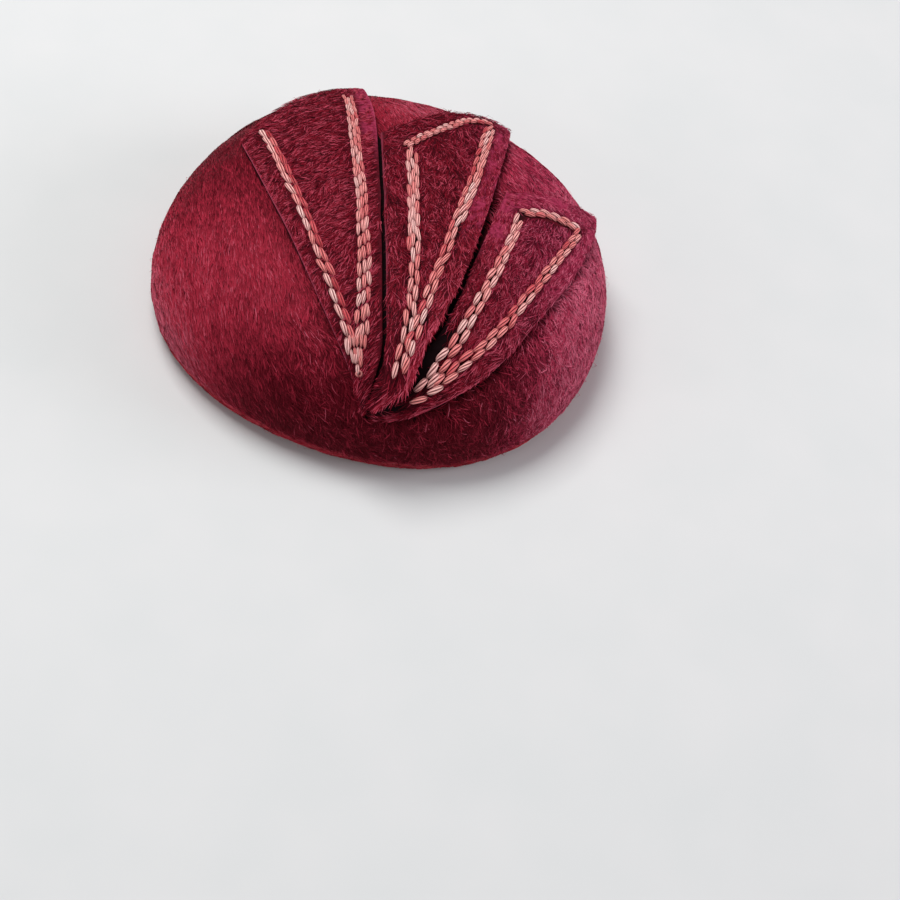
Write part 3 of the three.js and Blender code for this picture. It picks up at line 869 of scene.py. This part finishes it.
def make_fin_pile(fin, seed):
    rng = np.random.default_rng(seed)
    a, c, hanging = fin_pile_places(fin, rng)
    look = fin.table
    place, smooth, beyond = fin.place(a, c), fin.smoothness(a, c), fin.beyond_top(a, c)
    near_tip = 1 - smooth_step(a, 0.12, 0.5)
    curl = look["curl"] * (1 - 0.6 * smooth) * (1 - 0.75 * near_tip)
    at_tip, at_far_end = np.radians(look["brushed"])
    angle = at_tip * (1 - a) + at_far_end * a + math.radians(look["fan"]) * (2 * c - 1) * near_tip
    angle = angle * (1 - beyond) + TOP_BEARING * beyond
    angle = angle + drift(place, 12 * MM, seed + 1) * (0.15 + 0.4 * curl)
    angle = angle + drift(place, 4 * MM, seed + 2) * 0.8 * curl
    angle = angle + rng.normal(0, 1, len(a)) * (0.12 + 0.25 * curl)
    root, normal, up = fin.top(a, c)
    ahead = up * np.cos(angle)[:, None] - np.cross(up, normal) * np.sin(angle)[:, None]
    longer = (look["tip_length"] - 1) * near_tip
    length = rng.uniform(1.8, 4.4, len(a)) * MM * (1 + 0.35 * curl) * (1 - 0.3 * smooth) * (1 + longer)
    sideways = -np.sin(angle) * length / fin.width(a)
    forward = np.cos(angle) * length / fin.right.length
    room = np.where(sideways > 0, 1 - c, c) / np.maximum(np.abs(sideways), 1e-6)
    room_ahead = np.where(forward > 0, 1 - a + 0.03 * beyond, a) / np.maximum(np.abs(forward), 1e-6)
    room = np.minimum(room, room_ahead)
    length = length * np.where(hanging, np.clip(room + 0.15, 0.25, 1), np.clip(room * 0.92, 0.12, 1))
    lighter, start = look["light_tip"]
    darker, reach = look["dark_tip"]
    shade = look["tone"] + 0.1 * drift(place, 6 * MM, seed + 3)
    shade = shade + 0.12 * (1 + 0.5 * smooth) * drift(place, 2 * MM, seed + 4)
    # The last term is painted light on the right side.
    shade = shade + look["smooth_tone"] * smooth + 0.08 * smooth_mm(root[:, 0], 20, 60)
    # Painted light on the fibres along the edge near the tip, and painted shade at the tip.
    shade = shade + lighter * smooth_step(c, start, 0.95) * (1 - smooth_step(a, 0.25, 0.45))
    shaded = (1 - smooth_step(a, 0.12, 0.36)) * (1 - smooth_step(c, reach - 0.15, reach + 0.15))
    fibres = draw_fibres(
        rng, root, normal, ahead, length, curl,
        widths=(0.13, 0.22, 1 + 0.5 * longer),
        heights=(0.1, 0.35, (1 + 1.2 * curl) * (1 - 0.5 * smooth)),
        shade=shade - darker * shaded,
        uneven=0.3 * (1 - 0.35 * smooth),
        # A purple painted sheen towards the right.
        hue=0.5 + 0.45 * smooth_mm(root[:, 0] + 0.3 * root[:, 1], 15, 62),
        stray=(0.006, 0.8, 0),
    )
    return fibre_mesh(fin.name + "_pile", **fibres)


# Thread of several plies twisted together, along a line with its own directions up and over at each point.
# The fourth value is 1 on a ply's outer side, and 0 in the groove beside it and under the thread, where
# painted shade falls.
def plied_thread(line, up, over, half_width, half_height, twist):
    plies, sides = 5, 6
    count = len(line)
    share = np.linspace(0, 1, count)[:, None]
    ply = np.arange(plies)[:, None, None]
    turn = 2 * math.pi * (ply / plies + twist * share + 0.05)
    spin = turn + 2 * math.pi * np.arange(sides) / sides
    radius = (half_width * 0.34)[:, None]
    y = np.cos(turn) * (half_width[:, None] - radius) + radius * np.cos(spin)
    z = np.sin(turn) * (half_height[:, None] - radius * 0.6) + radius * np.sin(spin)
    points = line[:, None] + over[:, None] * y[..., None] + up[:, None] * z[..., None]
    ridge = (0.5 + 0.5 * np.cos(spin - turn)) * np.clip(0.7 + 0.6 * np.sin(spin), 0, 1)
    along = np.broadcast_to(share, y.shape)
    first = np.arange(plies) * count * sides
    quads = np.concatenate([grid_faces(count, sides, closed=True, first=start) for start in first])
    fan = np.array([(0, i + 1, i) for i in range(1, sides - 1)])
    start_caps = (fan + first[:, None, None]).reshape(-1, 3)
    end_caps = (fan[:, ::-1] + (first + (count - 1) * sides)[:, None, None]).reshape(-1, 3)
    return points.reshape(-1, 3), quads, np.concatenate([start_caps, end_caps]), ridge.ravel(), along.ravel()


# Gathers pieces of thread into one mesh
class ThreadWork:
    def __init__(self, seed):
        self.rng = np.random.default_rng(seed)
        self.parts = []
        self.first = 0

    def add(self, line, up, over, half_width, half_height, twist, painted_light=0.0):
        points, quads, triangles, ridge, along = plied_thread(line, up, over, half_width, half_height, twist)
        # A stitch's shade is random, moved by its column's painted light and shade.
        shade = np.full(len(points), np.clip(self.rng.uniform(0.4, 0.9) + painted_light, 0, 1))
        self.parts.append((points, quads + self.first, triangles + self.first, shade, ridge, along))
        self.first += len(points)

    def finish(self, name):
        points, quads, triangles, shade, ridge, along = map(np.concatenate, zip(*self.parts))
        return mesh_object(name, points, [quads, triangles], {"shade": shade, "ridge": ridge, "along": along})


# One column of stitches as a line over the fin
class StitchLine:
    def __init__(self, fin, row, asides):
        self.line, self.normal, _ = fin.top(*fin.stitch_route(row, np.linspace(0, 1, 300), asides))
        self.travelled = travelled(self.line)
        self.total = self.travelled[-1]

    def at(self, distance):
        past_end = np.maximum(distance - self.total, 0)[..., None]
        before_start = np.minimum(distance, 0)[..., None]
        point = interpolate(distance, self.travelled, self.line)
        point = point + past_end * unit(self.line[-1] - self.line[-2])
        point = point + before_start * unit(self.line[1] - self.line[0])
        return point, unit(interpolate(distance, self.travelled, self.normal))

    def frame(self, distance):
        point, up = self.at(distance)
        ahead = unit(self.at(distance + 0.8 * MM)[0] - self.at(distance - 0.8 * MM)[0])
        return point, up, unit(np.cross(up, ahead))


STITCH_RAISE = 0.35 * MM


# One stitch of a column, thickest before its middle. It leans aside and dips under the next one.
def add_stitch(work, route, middle, length, width, lean, painted_light):
    s = np.linspace(0, 1, 7)
    bulge = (1 - np.abs(2 * s**0.9 - 1) ** 2.6) ** 0.8
    point, up, over = route.frame(middle + (s - 0.5) * length)
    slant = lean * width + work.rng.normal(0, 0.08) * length
    aside = work.rng.normal(0, 0.07) * width + slant * (s - 0.5)
    rise = STITCH_RAISE + 0.22 * width * (bulge - 0.6) - 0.25 * width * (s - 0.4)
    line = point + over * aside[:, None] + up * rise[:, None]
    half_width = width / 2 * (0.3 + 0.76 * bulge)
    work.add(line, up, over, half_width, half_width * 0.75, work.rng.uniform(0.1, 0.34), painted_light)


# A small loop of thread lying flat where a row ends
def add_loop(work, route, radius, width):
    point, up, over = route.frame(np.array([route.total]))
    ahead = np.cross(over, up)
    turn = np.linspace(0, 2 * math.pi, 13)[:, None]
    out = ahead * np.cos(turn) + over * np.sin(turn)
    line = point + ahead * radius + out * radius * 0.8 + up * (STITCH_RAISE + 0.1 * MM)
    half_width = np.full(len(turn), width / 2)
    work.add(line, np.repeat(up, len(turn), axis=0), out, half_width, half_width, 1.5)


# All rows of stitches on one fin, joined
def make_stitches(fin, seed):
    work = ThreadWork(seed)
    for row in fin.rows.values():
        for far_aside, tip_aside, far_lag, tip_lag, start, end, painted_light in row["columns"]:
            route = StitchLine(fin, row, (far_aside, tip_aside))
            at = start * route.total + far_lag * row["pitch"][1]
            while at + 0.35 * row["pitch"][0] < end * route.total:
                t = at / route.total
                pitch = toward_tip(row["pitch"], t)
                length = pitch * toward_tip(row["grain"], t) * work.rng.uniform(0.96, 1.08)
                width = toward_tip(row["width"], t) * work.rng.uniform(0.9, 1.06)
                lean = toward_tip(row.get("lean", (0, 0)), t)
                add_stitch(work, route, at + pitch / 2, length, width, lean, painted_light)
                at += pitch * (1 + (tip_lag - far_lag) * pitch / route.total)
        if "end_loop" in row:
            add_loop(work, StitchLine(fin, row, (0, 0)), row["end_loop"], 0.6 * MM)
    return work.finish(fin.name + "_stitches")


# Small helpers for node materials. Colours have four values.
class Material:
    def __init__(self, name):
        self.material = bpy.data.materials.new(name)
        self.material.use_nodes = True
        self.tree = self.material.node_tree

    def set(self, sockets, values):
        for key, value in values.items():
            if isinstance(value, bpy.types.NodeSocket):
                self.tree.links.new(value, sockets[key])
            else:
                sockets[key].default_value = value

    def node(self, kind, output, inputs, **settings):
        made = self.tree.nodes.new("ShaderNode" + kind)
        for key, value in settings.items():
            setattr(made, key, value)
        self.set(made.inputs, inputs)
        return made.outputs[output]

    def attribute(self, name, output="Fac"):
        return self.node("Attribute", output, {}, attribute_name=name)

    def object_place(self):
        return self.node("TexCoord", "Object", {})

    def noise(self, vector, scale, detail):
        inputs = {"Vector": vector, "Scale": scale, "Detail": detail, "Roughness": 0.55}
        return self.node("TexNoise", "Fac", inputs)

    def ramp(self, value, *stops):
        made = self.tree.nodes.new("ShaderNodeValToRGB")
        self.set(made.inputs, {"Fac": value})
        while len(made.color_ramp.elements) < len(stops):
            made.color_ramp.elements.new(0.5)
        for element, (position, color) in zip(made.color_ramp.elements, stops):
            element.position = position
            element.color = color
        return made.outputs["Color"]

    def math(self, operation, a, b=0.0):
        return self.node("Math", "Value", {0: a, 1: b}, operation=operation)

    def mix(self, factor, a, b, blend="MIX"):
        return self.node("Mix", 2, {"Factor": factor, 6: a, 7: b}, data_type="RGBA", blend_type=blend)

    def finish(self, color, roughness, specular, **others):
        looks = {"Base Color": color, "Roughness": roughness, "Specular IOR Level": specular, **others}
        self.set(self.tree.nodes["Principled BSDF"].inputs, looks)
        return self.material

    def finish_felt(self, color, grain, strength):
        bump = self.node("Bump", "Normal", {"Height": grain, "Strength": strength, "Distance": 0.25 * MM})
        return self.finish(color, 0.9, 0.1, Normal=bump)


def srgb(code):
    parts = [int(code[i : i + 2], 16) / 255 for i in (0, 2, 4)]
    return *(c / 12.92 if c <= 0.04045 else ((c + 0.055) / 1.055) ** 2.4 for c in parts), 1


def grey(value):
    return value, value, value, 1


# Colours of fibres at three shades. The purple ones are copies for a painted sheen.
SHADES = (0.05, 0.5, 0.95)
CROWN_CRIMSON = (srgb("620a1a"), srgb("b42c42"), srgb("d8687e"))
CROWN_SHEEN_PURPLE = (srgb("640e28"), srgb("c63c60"), srgb("e87490"))
FIN_CRIMSON = (srgb("480614"), srgb("92142a"), srgb("d2546a"))
FIN_SHEEN_PURPLE = (srgb("4c0a20"), srgb("9e2244"), srgb("d86884"))
RIM_PILE = (srgb("780e1e"), srgb("b82838"), srgb("d85662"))

# Felt in painted shade deep under the pile, darker felt, and near-black felt for painted shade
ROOT_SHADE_FELT = srgb("36050f")
DARK_FELT = srgb("640a1c")
SHADED_FELT = srgb("100205")


# Felt under the pile, as light as the crown's painted light and shade, down to near-black painted shade
# between two fins, and with spots of painted shade deep at the roots. The rim and the inside are bare.
def crown_felt_material():
    m = Material("crown_felt")
    roots = m.noise(m.attribute("fibre", "Vector"), 900, 4)
    painted_tones = [(0.02, SHADED_FELT), (0.14, ROOT_SHADE_FELT), (0.5, srgb("701628")), (0.85, srgb("9c3450"))]
    pile = m.ramp(m.attribute("tone"), *painted_tones)
    pile = m.mix(m.ramp(roots, (0.3, grey(0)), (0.7, grey(0.55))), pile, ROOT_SHADE_FELT, "MULTIPLY")
    grain = m.noise(m.object_place(), 1800, 4)
    bare = m.ramp(grain, (0.3, DARK_FELT), (0.55, srgb("941a2c")), (0.8, srgb("b8394e")))
    return m.finish_felt(m.mix(m.attribute("bare"), pile, bare), grain, 0.7)


# Felt of the fins, in painted shade under the pile, smooth beside the stitches, near-black where painted
# shade lies, and lightest along its cut edges, partly their own colour and partly a painted highlight
def fin_felt_material():
    m = Material("fin_felt")
    curls = m.noise(m.attribute("fibre", "Vector"), 900, 5)
    pile = m.ramp(curls, (0.35, ROOT_SHADE_FELT), (0.8, DARK_FELT))
    smooth = m.ramp(curls, (0.3, srgb("5a1024")), (0.5, srgb("882440")), (0.75, srgb("9c3654")))
    color = m.mix(m.attribute("smooth"), pile, smooth)
    color = m.mix(m.attribute("shaded"), color, SHADED_FELT)
    color = m.mix(m.math("POWER", m.attribute("cut_edge_and_highlight"), 1.6), color, srgb("bc5068"))
    return m.finish_felt(color, curls, 0.6)


# Fibres from dark to light by their shade, which carries painted light and shade, from red over crimson to a
# purple painted sheen by their hue, with painted shade at the root
def pile_material(name, crimson, sheen_purple):
    m = Material(name)
    shade = m.attribute("shade")
    color = m.ramp(shade, *zip(SHADES, crimson))
    twice = m.math("MULTIPLY", m.attribute("hue"), 2.0)
    towards_painted_sheen = m.math("MAXIMUM", m.math("SUBTRACT", twice, 1.0), 0.0)
    towards_red = m.math("MAXIMUM", m.math("SUBTRACT", 1.0, twice), 0.0)
    color = m.mix(towards_painted_sheen, color, m.ramp(shade, *zip(SHADES, sheen_purple)))
    color = m.mix(towards_red, color, m.ramp(shade, *zip(SHADES, RIM_PILE)))
    root_shade = m.math("MULTIPLY", m.math("SUBTRACT", 1.0, m.attribute("along")), 0.8)
    return m.finish(m.mix(root_shade, color, (0.22, 0.16, 0.2, 1), "MULTIPLY"), 0.6, 0.05)


# Coral thread, lightest as a painted highlight, with painted shade in its grooves, underneath and at its ends
def thread_material():
    m = Material("coral_thread")
    shades_to_highlight = [(0, srgb("981c2c")), (0.3, srgb("d0525a")), (0.6, srgb("f49692")), (1, srgb("ffd2cc"))]
    color = m.ramp(m.attribute("shade"), *shades_to_highlight)
    spots = m.noise(m.object_place(), 1600, 3)
    color = m.mix(m.math("MULTIPLY", spots, 0.5), color, srgb("ffc4bc"), "SOFT_LIGHT")
    groove_shade = m.math("SUBTRACT", 1.0, m.math("POWER", m.attribute("ridge"), 1.5))
    color = m.mix(groove_shade, color, srgb("800e1e"))
    end = m.math("ABSOLUTE", m.math("SUBTRACT", m.math("MULTIPLY", m.attribute("along"), 2.0), 1.0))
    color = m.mix(m.math("MULTIPLY", m.math("POWER", end, 4.0), 0.9), color, srgb("6a0a18"))
    sheen = {"Sheen Weight": 0.1, "Sheen Tint": (1, 0.6, 0.55, 1)}
    return m.finish(color, 0.4, 0.4, **sheen)


def floor_material():
    m = Material("studio_floor")
    speck = m.noise(m.object_place(), 30, 2)
    return m.finish(m.ramp(speck, (0.3, srgb("cbcece")), (0.7, srgb("ced0d0"))), 0.9, 0.2)


def dress(piece, material):
    piece.data.materials.append(material)
    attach(piece, "root")


def make_hat():
    fins = lay_out_fins()
    crown = make_crown(fins)
    dress(crown, crown_felt_material())
    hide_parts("crown")
    crown_pile = pile_material("crown_pile", CROWN_CRIMSON, CROWN_SHEEN_PURPLE)
    for piece in make_crown_pile(fins):
        dress(piece, crown_pile)
    felt = fin_felt_material()
    fin_pile = pile_material("fin_pile", FIN_CRIMSON, FIN_SHEEN_PURPLE)
    thread = thread_material()
    for number, fin in enumerate(fins):
        sheet = make_fin(fin, 50 + 10 * number)
        dress(sheet, felt)
        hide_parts(fin.name)
        pile = make_fin_pile(fin, 100 + 10 * number)
        dress(pile, fin_pile)
        stitches = make_stitches(fin, 150 + number)
        dress(stitches, thread)
        width, length, area = fin.cut_size()


# Camera: the photo's direction, roll and framing for an image of 900 by 900
IMAGE_SIZE = 900
FOCAL_PIXELS = 2000
CAMERA_ELEVATION = math.radians(54)
CAMERA_ROLL = math.radians(14.2)
ORIGIN_PIXEL = (379.45, 298.3)  # where the rim plane's middle falls in the image
CAMERA_DISTANCE = 659.3 * MM
SENSOR = 36


def make_camera():
    turn = Matrix.Rotation(math.pi / 2 - CAMERA_ELEVATION, 3, "X") @ Matrix.Rotation(CAMERA_ROLL, 3, "Z")
    right, up, back = (turn.col[i] for i in range(3))
    aside, below = ((pixel - IMAGE_SIZE / 2) / FOCAL_PIXELS * CAMERA_DISTANCE for pixel in ORIGIN_PIXEL)
    data = bpy.data.cameras.new("camera")
    data.sensor_width = SENSOR
    data.lens = SENSOR * FOCAL_PIXELS / IMAGE_SIZE
    data.clip_start = 0.01
    camera = bpy.data.objects.new("camera", data)
    bpy.context.scene.collection.objects.link(camera)
    place = CAMERA_DISTANCE * back - aside * right + below * up
    camera.matrix_world = Matrix.Translation(place) @ turn.to_4x4()
    bpy.context.scene.camera = camera


def make_floor():
    size = 3
    points = np.array([(-size, -size, 0), (size, -size, 0), (size, size, 0), (-size, size, 0)])
    floor = mesh_object("floor", points, [np.array([[0, 1, 2, 3]])], {})
    floor.data.materials.append(floor_material())


def add_light(name, place, energy, size, color):
    data = bpy.data.lights.new(name, "AREA")
    data.energy = energy
    data.size = size
    data.color = color
    light = bpy.data.objects.new(name, data)
    light.location = place
    light.rotation_mode = "QUATERNION"
    light.rotation_quaternion = (-light.location).to_track_quat("-Z", "Y")
    bpy.context.scene.collection.objects.link(light)


def make_lights():
    add_light("key", (-0.4, 0.28, 1.12), 14.3, 0.6, (1.0, 0.98, 0.97))
    add_light("fill", (1.2, 0.15, 0.42), 10, 0.7, (1.0, 0.93, 0.98))
    add_light("low", (-1.05, -0.75, 0.34), 5.5, 0.8, (1.0, 0.97, 0.98))
    world = bpy.data.worlds.new("studio")
    bpy.context.scene.world = world
    world.use_nodes = True
    background = world.node_tree.nodes["Background"]
    background.inputs["Color"].default_value = (0.9, 0.92, 0.95, 1)
    background.inputs["Strength"].default_value = 0.3


bpy.context.scene.view_settings.view_transform = "Standard"
make_camera()
make_floor()
make_lights()
make_hat()
